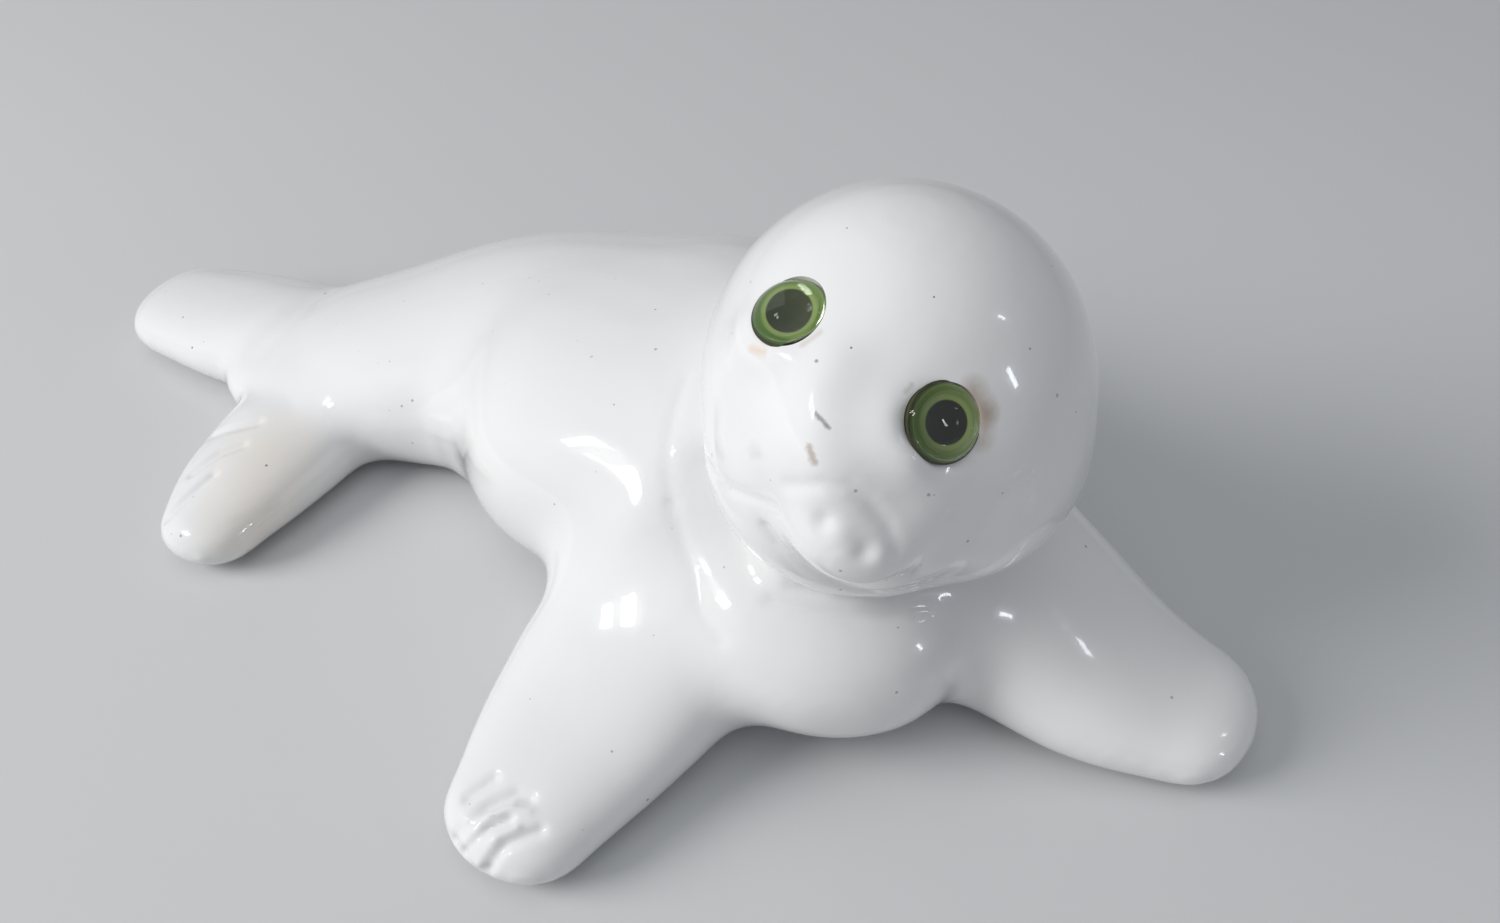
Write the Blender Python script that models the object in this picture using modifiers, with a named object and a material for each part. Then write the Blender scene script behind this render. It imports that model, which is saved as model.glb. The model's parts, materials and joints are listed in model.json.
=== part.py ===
"""Seal pup figurine: slip-cast glazed ceramic with two glued-in glass eyes.

The pup lies on its belly with its body curled to its right, its head raised and tilted,
two front flippers spread as props and two hind flippers behind a narrow waist.
X runs along the longest side, the chest faces -Y, and Z is up from the table.
"""
from math import asin, cos, pi, radians, sin

import bmesh
import bpy
import numpy as np
from mathutils import Matrix, Vector
from mathutils.bvhtree import BVHTree

# The whole pup follows its length: every length below is drawn for a pup of the drawn length, in mm.
PUP_LENGTH = 214.0
DRAWN_LENGTH = 214.0
MM = 0.001 * PUP_LENGTH / DRAWN_LENGTH

# Body stock, in mm. A station is (x, y, half width, top, bottom) along a limb.
TORSO = (
    (35.5, -29.5, 27, 33, 1),
    (40, -13, 33, 44, -2),
    (27, 6, 39, 46, -3),
    (6, 20.5, 39.5, 43, -4),
    (-15, 34.5, 29.5, 35.8, -4),
    (-40, 38, 24.5, 27, -4),
    (-58, 40.5, 20, 20, -3),
    (-69, 40, 15, 15, 0),
)
FLANK = (
    (-3, 12.5, 24, 37, -3),
    (-15.5, 24.5, 22, 33, -3),
    (-25, 30, 20, 28, -3),
    (-34, 32.5, 17, 24, -2),
)
FRONT_RIGHT_FLIPPER = (
    (23, -9, 30, 41, -2),
    (11.5, -31, 20.5, 27, -2),
    (4.5, -41, 18.2, 20, -1),
    (-1.5, -50, 16, 15, -0.5),
    (-7.5, -60.5, 12.4, 12, 0),
)
FRONT_LEFT_FLIPPER = (
    (54, -13, 27, 36, -2),
    (71, -25.5, 20.5, 26, -2),
    (83.5, -35, 18, 17, -1),
    (95.5, -42, 14, 12, 0),
)
HIND_RIGHT_FLIPPER = (
    (-57, 31, 16.5, 17, -2),
    (-62, 19, 14.5, 15, -1),
    (-68.5, 5, 12.3, 13, 0),
    (-71.5, -3.5, 9.5, 11, 0.5),
)
HIND_LEFT_FLIPPER = (
    (-58, 42, 15, 18, -2),
    (-69, 48, 15, 17, -1.5),
    (-82, 54.5, 15.5, 14, -0.5),
    (-96, 60.5, 13.5, 12, 0),
)
NECK = (
    (36, 12, 22, 50, 8),
    (43, -2, 23, 61, 12),
    (46, -14, 24, 68, 16),
)

SHOULDER_CENTRE = (15, -14, 21.6)
SHOULDER_RADIUS = 17.5

# Head and face, in mm, with directions from the head's centre as (azimuth, elevation).
HEAD_CENTRE = (46.9, -21.8, 56.6)
HEAD_RADIUS = 28.5
HEAD_HALF_WIDTH = 27.6
MUZZLE_DIRECTION = (-15.8, -0.8)
MUZZLE_TILT = 22
MUZZLE_WIDTH = 25.0
MUZZLE_HEIGHT = 20.0
MUZZLE_DEPTH = 17.0
MUZZLE_REACH = 35.0
BRIDGE_DIRECTION = (-17, 15)
BRIDGE_REACH = 32.3
BRIDGE_RADIUS = 17.0
JAW_RADIUS = 22.0
RIGHT_JAW = (-40, -30, 31.3)
LEFT_JAW = (42, -22, 30.0)
CHIN_RADIUS = 14.0
CHIN = (-12, -37, 30.3)

# Face creases: depth and width in mm, then points as (azimuth, elevation) from the head's centre.
MOUTH_CORNER = (0.8, 1.2, ((-64, -8), (-57.3, -6), (-48.1, -2.7), (-41, -0.4), (-34.8, 2.5)))
MOUTH_LINE = (1.2, 1.6, (
    (-38.3, -7.4), (-34.8, -11.1), (-31.1, -13.3), (-25.5, -17.8),
    (-20, -22), (-14.5, -24), (-8.4, -25), (0, -23),
))
MUZZLE_TOP = (0.5, 1.5, ((-30.8, 12.9), (-21.9, 17.9), (-16.6, 18.2), (-12.3, 15.2), (-7.3, 8.7), (-5, 2.5)))
CHEEK_CREASE = (0.2, 1.2, ((31.5, 11.6), (20, 7.1), (14.8, -2)))
CHIN_FOLD = (0.6, 1.0, ((-39, -46), (-28, -47.5), (-15, -49), (-2, -50), (16, -51)))
RIGHT_NOSTRIL = (0.9, 1.5, ((-20.8, 9.4),))
LEFT_NOSTRIL = (0.9, 1.5, ((-11.5, 4.4),))
FACE_CREASES = (MOUTH_CORNER, MOUTH_LINE, MUZZLE_TOP, CHEEK_CREASE, CHIN_FOLD, RIGHT_NOSTRIL, LEFT_NOSTRIL)

# The skin slopes down on the side an eye turns to, and swells on the other side (a negative depth).
EYE_SLOPES = (
    (1.3, 5.0, ((-51, 58.5),)),
    (-1.3, 5.0, ((-62.6, 37.9),)),
    (0.9, 5.0, ((18, 36.2),)),
    (-0.9, 5.0, ((-6.4, 28.4),)),
)

# Body creases: depth and width in mm, then points as (x, y) on the upper side, in mm.
RIM_HEIGHT = 7.0
NECK_FOLD = (0.4, 1.3, ((16.5, -3.5), (16.2, -9.9), (16.3, -12.9)))
SHOULDER_FOLD = (0.4, 1.5, (
    (13.6, -21.6), (14.9, -26.2), (16.7, -30.2), (18.4, -34.1), (19.1, -38.2), (22.2, -42.7),
))
LEFT_TAIL_ROOT = (0.8, 2.2, ((-73, 33.7), (-70.3, 38.8), (-66.6, 43.6), (-62.1, 51.3)))
RIGHT_TAIL_ROOT = (0.9, 1.8, ((-75.7, 28.5), (-70.3, 25.6), (-62.8, 21.4), (-59.6, 19.8)))
HIND_TOES = (
    (0.6, 1.0, ((-75, 14.7), (-69.4, 15.2), (-65.9, 15.7))),
    (0.6, 1.0, ((-76, 5), (-71.4, 8.9), (-67.4, 10.2))),
    (0.6, 1.0, ((-78, -4), (-74, 0.5), (-71.2, 3.6))),
)
FRONT_TOES = (
    (0.7, 1.1, ((-14.5, -60), (-10.8, -57.6))),
    (0.7, 1.1, ((-16.5, -65), (-11.1, -61.7), (-7.3, -60.2), (-5.2, -60.9))),
    (0.7, 1.1, ((-15, -67), (-10.7, -64.6), (-7.9, -63.7))),
    (0.7, 1.1, ((-11, -70), (-8, -67), (-5.7, -66.2), (-3.3, -65.3))),
)
BODY_CREASES = (NECK_FOLD, SHOULDER_FOLD, LEFT_TAIL_ROOT, RIGHT_TAIL_ROOT, *HIND_TOES, *FRONT_TOES)

# Glass eyes, in mm. An eye sits where its direction meets the head and faces along its axis.
EYE_DIAMETER = 9.6
EYE_DOME = 2.6
EYE_BACK = 2.2
RIGHT_EYE_DIRECTION = (-56.8, 48.2)
RIGHT_EYE_AXIS = (-46, 66)
LEFT_EYE_DIRECTION = (5.8, 32.3)
LEFT_EYE_AXIS = (28, 39)
EYE_GAP = 0.3

# Working sizes, in mm. A limb ends in a round cap that reaches this share of its half width.
VOXEL = 1.2
BLEND_STEPS = 8
BLEND_FACTOR = 0.5
FILL_STEPS = 420
FILL_STARTS = 29.5
FILL_FULL = 32.5
BODY_TRIANGLES = 11500
RING_SIDES = 28
RINGS_PER_SPAN = 5
CAP_RINGS = 5
CAP_REACH = 0.8
BALL_SIDES = 32
BALL_RINGS = 20
SECTION_POWER = 2.3
VENT_DIAMETER = 8.0
VENT_DEPTH = 9.0
VENT_PLACE = (12.0, 24.0)
TURN_STEPS = 32
DOME_STEPS = 8

GLAZE_COLOUR = (0.86, 0.87, 0.88)
GLAZE_ROUGHNESS = 0.08
GLASS_COLOUR = (0.10, 0.22, 0.05)
GLASS_ROUGHNESS = 0.03


def clear_scene():
    for old in list(bpy.data.objects):
        bpy.data.objects.remove(old, do_unlink=True)


def new_collection(name):
    collection = bpy.data.collections.new(name)
    bpy.context.scene.collection.children.link(collection)
    return collection


def material(name, colour, roughness):
    made = bpy.data.materials.new(name)
    made.use_nodes = True
    shader = made.node_tree.nodes["Principled BSDF"]
    shader.inputs["Base Color"].default_value = (*colour, 1.0)
    shader.inputs["Roughness"].default_value = roughness
    shader.inputs["Metallic"].default_value = 0.0
    return made


def direction(angles):
    """Unit vector of (azimuth, elevation) in degrees; azimuth 0 is -Y and grows towards +X."""
    azimuth, elevation = (radians(a) for a in angles)
    return Vector((sin(azimuth) * cos(elevation), -cos(azimuth) * cos(elevation), sin(elevation)))


def spline(a, b, c, d, t):
    """Catmull-Rom curve between b and c."""
    return 0.5 * (2 * b + (c - a) * t + (2 * a - 5 * b + 4 * c - d) * t**2 + (3 * (b - c) + d - a) * t**3)


def smooth_stations(stations):
    """Stations with further ones on a smooth curve between them."""
    last = len(stations) - 1
    finer = []
    for i in range(last):
        around = [stations[min(max(i + k, 0), last)] for k in (-1, 0, 1, 2)]
        for step in range(RINGS_PER_SPAN):
            finer.append([spline(*values, step / RINGS_PER_SPAN) for values in zip(*around)])
    finer.append(list(stations[last]))
    return finer


def ring(place, along, half_width, half_height):
    """Points of one rounded section, standing across the limb."""
    across = Vector((-along.y, along.x, 0)).normalized()
    points = []
    for k in range(RING_SIDES):
        turn = 2 * pi * k / RING_SIDES
        u = abs(cos(turn)) ** (2 / SECTION_POWER) * (1 if cos(turn) >= 0 else -1)
        v = abs(sin(turn)) ** (2 / SECTION_POWER) * (1 if sin(turn) >= 0 else -1)
        points.append(place + across * (u * half_width) + Vector((0, 0, v * half_height)))
    return points


def limb(name, stations, collection):
    """A closed loft through the stations with a round end at each side."""
    rows = smooth_stations(stations)
    places = [Vector((x, y, (top + bottom) / 2)) for x, y, _, top, bottom in rows]
    sizes = [(width, (top - bottom) / 2) for _, _, width, top, bottom in rows]
    headings = []
    for i in range(len(rows)):
        step = places[min(i + 1, len(rows) - 1)] - places[max(i - 1, 0)]
        headings.append(Vector((step.x, step.y, 0)).normalized())
    rings = [ring(p, h, *s) for p, h, s in zip(places, headings, sizes)]
    poles = []
    for end, sign in ((0, -1), (-1, 1)):
        place, heading, (width, height) = places[end], headings[end], sizes[end]
        reach = width * CAP_REACH
        for k in range(1, CAP_RINGS):
            turn = k / CAP_RINGS * pi / 2
            beyond = place + heading * (sign * reach * sin(turn))
            cap = ring(beyond, heading, width * cos(turn), height * cos(turn))
            rings.insert(0 if end == 0 else len(rings), cap)
        poles.append(place + heading * (sign * reach))
    shape = bmesh.new()
    rows_of_verts = [[shape.verts.new(p * MM) for p in points] for points in rings]
    for lower, upper in zip(rows_of_verts, rows_of_verts[1:]):
        for k in range(RING_SIDES):
            n = (k + 1) % RING_SIDES
            shape.faces.new((lower[k], lower[n], upper[n], upper[k]))
    for pole, row in zip(poles, (rows_of_verts[0], rows_of_verts[-1])):
        tip = shape.verts.new(pole * MM)
        for k in range(RING_SIDES):
            shape.faces.new((tip, row[k], row[(k + 1) % RING_SIDES]))
    bmesh.ops.recalc_face_normals(shape, faces=shape.faces)
    return from_bmesh(name, shape, collection)


def from_bmesh(name, shape, collection):
    mesh = bpy.data.meshes.new(name)
    shape.to_mesh(mesh)
    shape.free()
    made = bpy.data.objects.new(name, mesh)
    collection.objects.link(made)
    return made


def ball(name, centre, radii, collection, azimuth=0, tilt=0):
    """An ellipsoid with the given half axes, rolled about its own -Y, which is then turned to an azimuth."""
    shape = bmesh.new()
    bmesh.ops.create_uvsphere(shape, u_segments=BALL_SIDES, v_segments=BALL_RINGS, radius=1.0)
    for vert in shape.verts:
        vert.co = Vector((vert.co.x * radii[0], vert.co.y * radii[1], vert.co.z * radii[2]))
    turn = Matrix.Rotation(radians(azimuth), 3, "Z") @ Matrix.Rotation(radians(tilt), 3, "Y")
    for vert in shape.verts:
        vert.co = (turn @ vert.co + Vector(centre)) * MM
    return from_bmesh(name, shape, collection)


def join(name, pieces, collection):
    """All the pieces' faces in one mesh; the pieces are removed."""
    shape = bmesh.new()
    for piece in pieces:
        shape.from_mesh(piece.data)
    for piece in pieces:
        bpy.data.objects.remove(piece, do_unlink=True)
    return from_bmesh(name, shape, collection)


def settle(thing):
    """Replace an object's mesh by what its modifiers make of it."""
    graph = bpy.context.evaluated_depsgraph_get()
    mesh = bpy.data.meshes.new_from_object(thing.evaluated_get(graph))
    thing.modifiers.clear()
    thing.data = mesh


def body_stock(collection):
    """Torso, limbs and head fused into one skin, with soft blends where they meet."""
    centre = Vector(HEAD_CENTRE)
    muzzle = centre + direction(MUZZLE_DIRECTION) * (MUZZLE_REACH - MUZZLE_DEPTH)
    muzzle_size = (MUZZLE_WIDTH / 2, MUZZLE_DEPTH, MUZZLE_HEIGHT / 2)
    right_jaw = centre + direction(RIGHT_JAW[:2]) * (RIGHT_JAW[2] - JAW_RADIUS)
    left_jaw = centre + direction(LEFT_JAW[:2]) * (LEFT_JAW[2] - JAW_RADIUS)
    chin = centre + direction(CHIN[:2]) * (CHIN[2] - CHIN_RADIUS)
    bridge = centre + direction(BRIDGE_DIRECTION) * (BRIDGE_REACH - BRIDGE_RADIUS)
    pieces = [
        limb("torso", TORSO, collection),
        limb("flank", FLANK, collection),
        limb("front_right_flipper", FRONT_RIGHT_FLIPPER, collection),
        limb("front_left_flipper", FRONT_LEFT_FLIPPER, collection),
        limb("hind_right_flipper", HIND_RIGHT_FLIPPER, collection),
        limb("hind_left_flipper", HIND_LEFT_FLIPPER, collection),
        limb("neck", NECK, collection),
        ball("shoulder", SHOULDER_CENTRE, (SHOULDER_RADIUS,) * 3, collection),
        ball("head", centre, (HEAD_HALF_WIDTH, HEAD_RADIUS, HEAD_RADIUS), collection),
        ball("muzzle", muzzle, muzzle_size, collection, MUZZLE_DIRECTION[0], MUZZLE_TILT),
        ball("bridge", bridge, (BRIDGE_RADIUS,) * 3, collection),
        ball("chin", chin, (CHIN_RADIUS,) * 3, collection),
        ball("right_jaw", right_jaw, (JAW_RADIUS,) * 3, collection),
        ball("left_jaw", left_jaw, (JAW_RADIUS,) * 3, collection),
    ]
    stock = join("body", pieces, collection)
    skin = stock.modifiers.new("one skin", "REMESH")
    skin.mode = "VOXEL"
    skin.voxel_size = VOXEL * MM
    blend = stock.modifiers.new("soft blends", "SMOOTH")
    blend.factor = BLEND_FACTOR
    blend.iterations = BLEND_STEPS
    settle(stock)
    return stock


def skin_arrays(stock):
    """Places and outward directions of an object's vertices."""
    places = np.empty(len(stock.data.vertices) * 3)
    outward = np.empty(len(places))
    stock.data.vertices.foreach_get("co", places)
    stock.data.vertex_normals.foreach_get("vector", outward)
    return places.reshape(-1, 3), outward.reshape(-1, 3)


def fill_hollows(stock, rounds):
    """Round the inner corners where limbs meet, as slip and glaze do, and leave outer forms alone."""
    mesh = stock.data
    places, outward = skin_arrays(stock)
    ends = np.empty(len(mesh.edges) * 2, dtype=np.int64)
    mesh.edges.foreach_get("vertices", ends)
    first, second = ends.reshape(-1, 2).T
    count = len(places)
    degree = np.bincount(first, minlength=count) + np.bincount(second, minlength=count)
    away = np.linalg.norm(places - np.array(HEAD_CENTRE) * MM, axis=1) / MM
    weight = np.clip((away - FILL_STARTS) / (FILL_FULL - FILL_STARTS), 0, 1)
    for _ in range(rounds):
        mean = np.empty_like(places)
        for axis in range(3):
            value = places[:, axis]
            total = np.bincount(first, value[second], count) + np.bincount(second, value[first], count)
            mean[:, axis] = total / degree
        lift = np.einsum("ij,ij->i", mean - places, outward)
        places += outward * (np.clip(lift, 0, None) * weight)[:, None]
        mesh.vertices.foreach_set("co", places.ravel())
        mesh.update()
        places, outward = skin_arrays(stock)


def on_head(tree, angles):
    """The point of the skin that a direction from the head's centre meets, in metres."""
    return tree.ray_cast(Vector(HEAD_CENTRE) * MM, direction(angles))[0]


def from_above(tree, place):
    """The point of the skin above a place in plan, or on the rim beside it, in metres."""
    start = Vector((*place, HEAD_CENTRE[2])) * MM
    rim = Vector((*place, RIM_HEIGHT)) * MM
    return tree.ray_cast(start, Vector((0, 0, -1)))[0] or tree.find_nearest(rim)[0]


def crease(places, outward, points, depth, width):
    """Press a soft groove along a chain of points on the skin, or a dimple at one point."""
    nearest = np.full(len(places), np.inf)
    for start, end in zip(points, points[1:] or points):
        along = np.array(end - start)
        share = (places - np.array(start)) @ along / max(along @ along, 1e-12)
        foot = np.array(start) + np.clip(share, 0, 1)[:, None] * along
        nearest = np.minimum(nearest, np.linalg.norm(places - foot, axis=1))
    places -= outward * (depth * MM * np.exp(-((nearest / (width * MM)) ** 2)))[:, None]


def details(stock):
    """Slopes beside the eyes, mouth, nostrils, folds and toe grooves."""
    tree = BVHTree.FromObject(stock, bpy.context.evaluated_depsgraph_get())
    lines = [(d, w, [on_head(tree, p) for p in line]) for d, w, line in (*EYE_SLOPES, *FACE_CREASES)]
    lines += [(d, w, [from_above(tree, p) for p in line]) for d, w, line in BODY_CREASES]
    places, outward = skin_arrays(stock)
    for depth, width, line in lines:
        crease(places, outward, line, depth, width)
    stock.data.vertices.foreach_set("co", places.ravel())
    stock.data.update()


def eye(name, seat, axis, glass, collection):
    """A turned glass eye: a domed front over a short straight-sided back."""
    radius = EYE_DIAMETER / 2
    dome = (radius**2 + EYE_DOME**2) / (2 * EYE_DOME)
    widest = asin(radius / dome)
    turns = [widest * k / DOME_STEPS for k in range(DOME_STEPS + 1)]
    outline = [Vector((dome * sin(t), 0, dome * cos(t) - dome + EYE_DOME)) for t in turns]
    outline += [Vector((radius, 0, -EYE_BACK)), Vector((0, 0, -EYE_BACK))]
    mesh = bpy.data.meshes.new(name)
    mesh.from_pydata([p * MM for p in outline], [(k, k + 1) for k in range(len(outline) - 1)], [])
    made = bpy.data.objects.new(name, mesh)
    collection.objects.link(made)
    turned = made.modifiers.new("turned", "SCREW")
    turned.steps = turned.render_steps = TURN_STEPS
    turned.use_merge_vertices = True
    turned.merge_threshold = 0.00001
    made.data.materials.append(glass)
    made.location = seat
    made.rotation_mode = "QUATERNION"
    made.rotation_quaternion = axis.to_track_quat("Z", "Y")
    return made


def drill(stock, name, bottom, axis, radius, length, cutters):
    """Cut a round hole that starts at a bottom point and runs along an axis; all in mm but the bottom."""
    shape = bmesh.new()
    lift = Matrix.Translation((0, 0, length / 2 * MM))
    bmesh.ops.create_cone(
        shape, cap_ends=True, segments=TURN_STEPS, radius1=radius * MM, radius2=radius * MM,
        depth=length * MM, matrix=lift,
    )
    cutter = from_bmesh(name, shape, cutters)
    cutter.location = bottom
    cutter.rotation_mode = "QUATERNION"
    cutter.rotation_quaternion = axis.to_track_quat("Z", "Y")
    cutter.hide_render = True
    cutter.display_type = "WIRE"
    hole = stock.modifiers.new(name, "BOOLEAN")
    hole.operation = "DIFFERENCE"
    hole.object = cutter


def centre_on_footprint(stock, things):
    """Slide everything so that the origin is under the middle of the body."""
    xs = [vert.co.x for vert in stock.data.vertices]
    ys = [vert.co.y for vert in stock.data.vertices]
    middle = Vector(((min(xs) + max(xs)) / 2, (min(ys) + max(ys)) / 2, 0))
    for thing in things:
        thing.location -= middle


def thin_out(stock, triangles):
    """Fewer, larger faces where the surface is calm."""
    stock.data.calc_loop_triangles()
    fewer = stock.modifiers.new("fewer faces", "DECIMATE")
    fewer.ratio = triangles / len(stock.data.loop_triangles)
    settle(stock)


def flat_foot(stock):
    """Cut the underside flat on the table."""
    shape = bmesh.new()
    shape.from_mesh(stock.data)
    cut = bmesh.ops.bisect_plane(
        shape, geom=shape.verts[:] + shape.edges[:] + shape.faces[:], dist=1e-6,
        plane_co=(0, 0, 0), plane_no=(0, 0, -1), clear_outer=True,
    )
    rim = [e for e in cut["geom_cut"] if isinstance(e, bmesh.types.BMEdge)]
    bmesh.ops.holes_fill(shape, edges=rim)
    bmesh.ops.triangulate(shape, faces=[f for f in shape.faces if len(f.verts) > 4])
    bmesh.ops.recalc_face_normals(shape, faces=shape.faces)
    shape.to_mesh(stock.data)
    shape.free()


def build():
    clear_scene()
    seal = new_collection("seal_figurine")
    cutters = new_collection("cutters")
    glaze = material("white_glaze", GLAZE_COLOUR, GLAZE_ROUGHNESS)
    glass = material("green_glass", GLASS_COLOUR, GLASS_ROUGHNESS)
    stock = body_stock(seal)
    fill_hollows(stock, FILL_STEPS)
    details(stock)
    thin_out(stock, BODY_TRIANGLES)
    flat_foot(stock)
    stock.data.materials.append(glaze)
    for face in stock.data.polygons:
        face.use_smooth = True
    tree = BVHTree.FromObject(stock, bpy.context.evaluated_depsgraph_get())
    eyes = (
        ("right_eye", RIGHT_EYE_DIRECTION, RIGHT_EYE_AXIS),
        ("left_eye", LEFT_EYE_DIRECTION, LEFT_EYE_AXIS),
    )
    for name, place, facing in eyes:
        axis = direction(facing)
        seat = on_head(tree, place)
        eye(name, seat, axis, glass, seal)
        bottom = seat - axis * ((EYE_BACK + EYE_GAP) * MM)
        radius = EYE_DIAMETER / 2 + EYE_GAP
        drill(stock, name + "_socket", bottom, axis, radius, EYE_BACK + EYE_DOME, cutters)
    vent = Vector((*VENT_PLACE, VENT_DEPTH)) * MM
    drill(stock, "vent_hole", vent, Vector((0, 0, -1)), VENT_DIAMETER / 2, VENT_DEPTH * 2, cutters)
    centre_on_footprint(stock, [*seal.objects, *cutters.objects])


build()
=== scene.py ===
# %% [markdown]
# # A glazed ceramic seal pup with glass eyes
#
# The real pup is slip-cast: liquid clay is poured into a plaster mould, and the thin shell that sets there
# is fired, dipped in white glaze and fired again. Two domed glass eyes are glued in last. Its size and main
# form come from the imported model, which is loaded first and stays as it is. What follows gives it a smooth
# skin, fine creases, real-looking glass and glaze, a floor, lights and a camera.

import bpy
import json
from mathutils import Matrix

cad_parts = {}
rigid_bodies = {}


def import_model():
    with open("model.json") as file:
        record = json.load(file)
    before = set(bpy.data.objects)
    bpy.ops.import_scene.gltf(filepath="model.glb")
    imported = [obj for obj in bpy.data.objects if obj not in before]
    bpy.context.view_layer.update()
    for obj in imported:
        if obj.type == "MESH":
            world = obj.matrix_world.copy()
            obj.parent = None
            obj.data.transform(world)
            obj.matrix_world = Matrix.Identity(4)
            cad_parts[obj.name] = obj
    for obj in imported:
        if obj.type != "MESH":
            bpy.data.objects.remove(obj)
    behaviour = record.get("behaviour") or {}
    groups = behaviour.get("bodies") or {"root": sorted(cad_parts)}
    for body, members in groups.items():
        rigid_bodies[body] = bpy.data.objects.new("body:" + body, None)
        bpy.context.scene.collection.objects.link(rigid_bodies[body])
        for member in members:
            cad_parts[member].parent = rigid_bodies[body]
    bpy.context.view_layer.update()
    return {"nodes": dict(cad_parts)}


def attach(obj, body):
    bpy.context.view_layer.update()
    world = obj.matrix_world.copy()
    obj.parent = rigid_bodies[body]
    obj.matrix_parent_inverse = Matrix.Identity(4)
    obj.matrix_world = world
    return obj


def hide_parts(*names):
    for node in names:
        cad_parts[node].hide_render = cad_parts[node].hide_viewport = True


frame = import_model()

# %% [markdown]
# ## Small helpers
#
# Blender's operators act on whatever is selected, so one helper picks a single object first, and another
# opens an object with only some of its faces selected. Angles on the head are given as azimuth and
# elevation, because a face is easier to lay out on a ball than in x, y and z. Lengths are written in
# millimetres and multiplied by MM where Blender needs metres.

# %% Units, selection and directions
import json
from math import cos, radians, sin

import bpy
import numpy as np
from mathutils import Matrix, Vector
from mathutils.bvhtree import BVHTree

MM = 0.001


def pick(thing):
    bpy.ops.object.select_all(action="DESELECT")
    thing.select_set(True)
    bpy.context.view_layer.objects.active = thing


def start_edit(thing, what="FACE"):
    pick(thing)
    bpy.ops.object.mode_set(mode="EDIT")
    bpy.ops.mesh.select_mode(type=what)
    bpy.ops.mesh.select_all(action="SELECT")


def end_edit():
    bpy.ops.object.mode_set(mode="OBJECT")


def edit_faces(thing, wanted):
    start_edit(thing)
    bpy.ops.mesh.select_all(action="DESELECT")
    end_edit()
    for face in thing.data.polygons:
        face.select = wanted(face)
    bpy.ops.object.mode_set(mode="EDIT")


def apply_modifiers(thing):
    pick(thing)
    for modifier in list(thing.modifiers):
        bpy.ops.object.modifier_apply(modifier=modifier.name)


def count(thing):
    thing.data.calc_loop_triangles()
    return len(thing.data.loop_triangles)


def direction(azimuth, elevation):
    turn = radians(azimuth)
    rise = radians(elevation)
    return Vector((sin(turn) * cos(rise), -cos(turn) * cos(rise), sin(rise)))


def put_on(material, *things):
    for thing in things:
        thing.data.materials.clear()
        thing.data.materials.append(material)


HEAD_CENTRE = Vector((46.8, -22.97, 56.6)) * MM
print("head centre at", [round(v, 4) for v in HEAD_CENTRE])

# %% [markdown]
# ## The camera
#
# The camera looks down at 45 degrees from in front of the pup, close enough that the head looks large. It
# comes early, so that every later step can be checked from the same place. Its focal length and the width
# of the frame are both in pixels, so their ratio times the sensor's width gives the lens.

# %% Camera
CAMERA_PLACE = (0.0264, -0.14867, 0.167)
CAMERA_TILT = radians(45)
FRAME_WIDTH = 1500
FOCAL_LENGTH = 1190
SENSOR = 36
bpy.ops.object.camera_add(location=CAMERA_PLACE, rotation=(CAMERA_TILT, 0, 0))
camera = bpy.context.object
camera.name = "camera"
camera.data.sensor_width = SENSOR
camera.data.lens = SENSOR * FOCAL_LENGTH / FRAME_WIDTH
camera.data.clip_start = 0.005
camera.data.clip_end = 10
bpy.context.scene.camera = camera
bpy.context.scene.view_settings.view_transform = "Standard"
print("lens", round(camera.data.lens, 2), "mm")

# %% [markdown]
# ## One smooth skin for the body
#
# A glazed casting has no facets and no seams: everything flows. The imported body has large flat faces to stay
# light, so a welded copy of it is turned into a fine even mesh by a voxel remesh. The eye sockets are filled
# with a ball just under the skin first, so that they can be cut cleanly later. Sculpting by hand could do
# the same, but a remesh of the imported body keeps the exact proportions.

# %% Copy, weld and remesh the body
WELD = 0.01 * MM
SOCKET_FILLING_RADII = (27.1, 28.0, 28.0)
VOXEL = 0.93 * MM
glazed_body = frame["nodes"]["body"].copy()
glazed_body.data = glazed_body.data.copy()
glazed_body.name = glazed_body.data.name = "glazed_body"
bpy.context.scene.collection.objects.link(glazed_body)
start_edit(glazed_body)
bpy.ops.mesh.remove_doubles(threshold=WELD)
end_edit()

bpy.ops.object.select_all(action="DESELECT")
bpy.ops.mesh.primitive_uv_sphere_add(segments=64, ring_count=32, radius=MM, location=HEAD_CENTRE)
socket_filling = bpy.context.object
socket_filling.scale = SOCKET_FILLING_RADII
bpy.ops.object.transform_apply(location=True, rotation=True, scale=True)
pick(glazed_body)
socket_filling.select_set(True)
bpy.ops.object.join()

skin = glazed_body.modifiers.new("fine skin", "REMESH")
skin.mode = "VOXEL"
skin.voxel_size = VOXEL
apply_modifiers(glazed_body)
print("fine skin has", count(glazed_body), "triangles")

# %% [markdown]
# ## Smooth out the facets without shrinking the form
#
# Averaging each point with its neighbours takes out the facets, but it also shrinks thin parts such as the
# flippers. So the loss is measured, smoothed in the same way and given back. The large form stays where it
# was and only the small bumps go. The underside is pressed flat again, because the pup rests on it.

# %% Smoothing that keeps the size
def read_skin(thing):
    places = np.empty(len(thing.data.vertices) * 3)
    outward = np.empty(len(places))
    thing.data.vertices.foreach_get("co", places)
    thing.data.vertex_normals.foreach_get("vector", outward)
    return places.reshape(-1, 3), outward.reshape(-1, 3)


def write_skin(thing, places):
    thing.data.vertices.foreach_set("co", places.ravel())
    thing.data.update()


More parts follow.
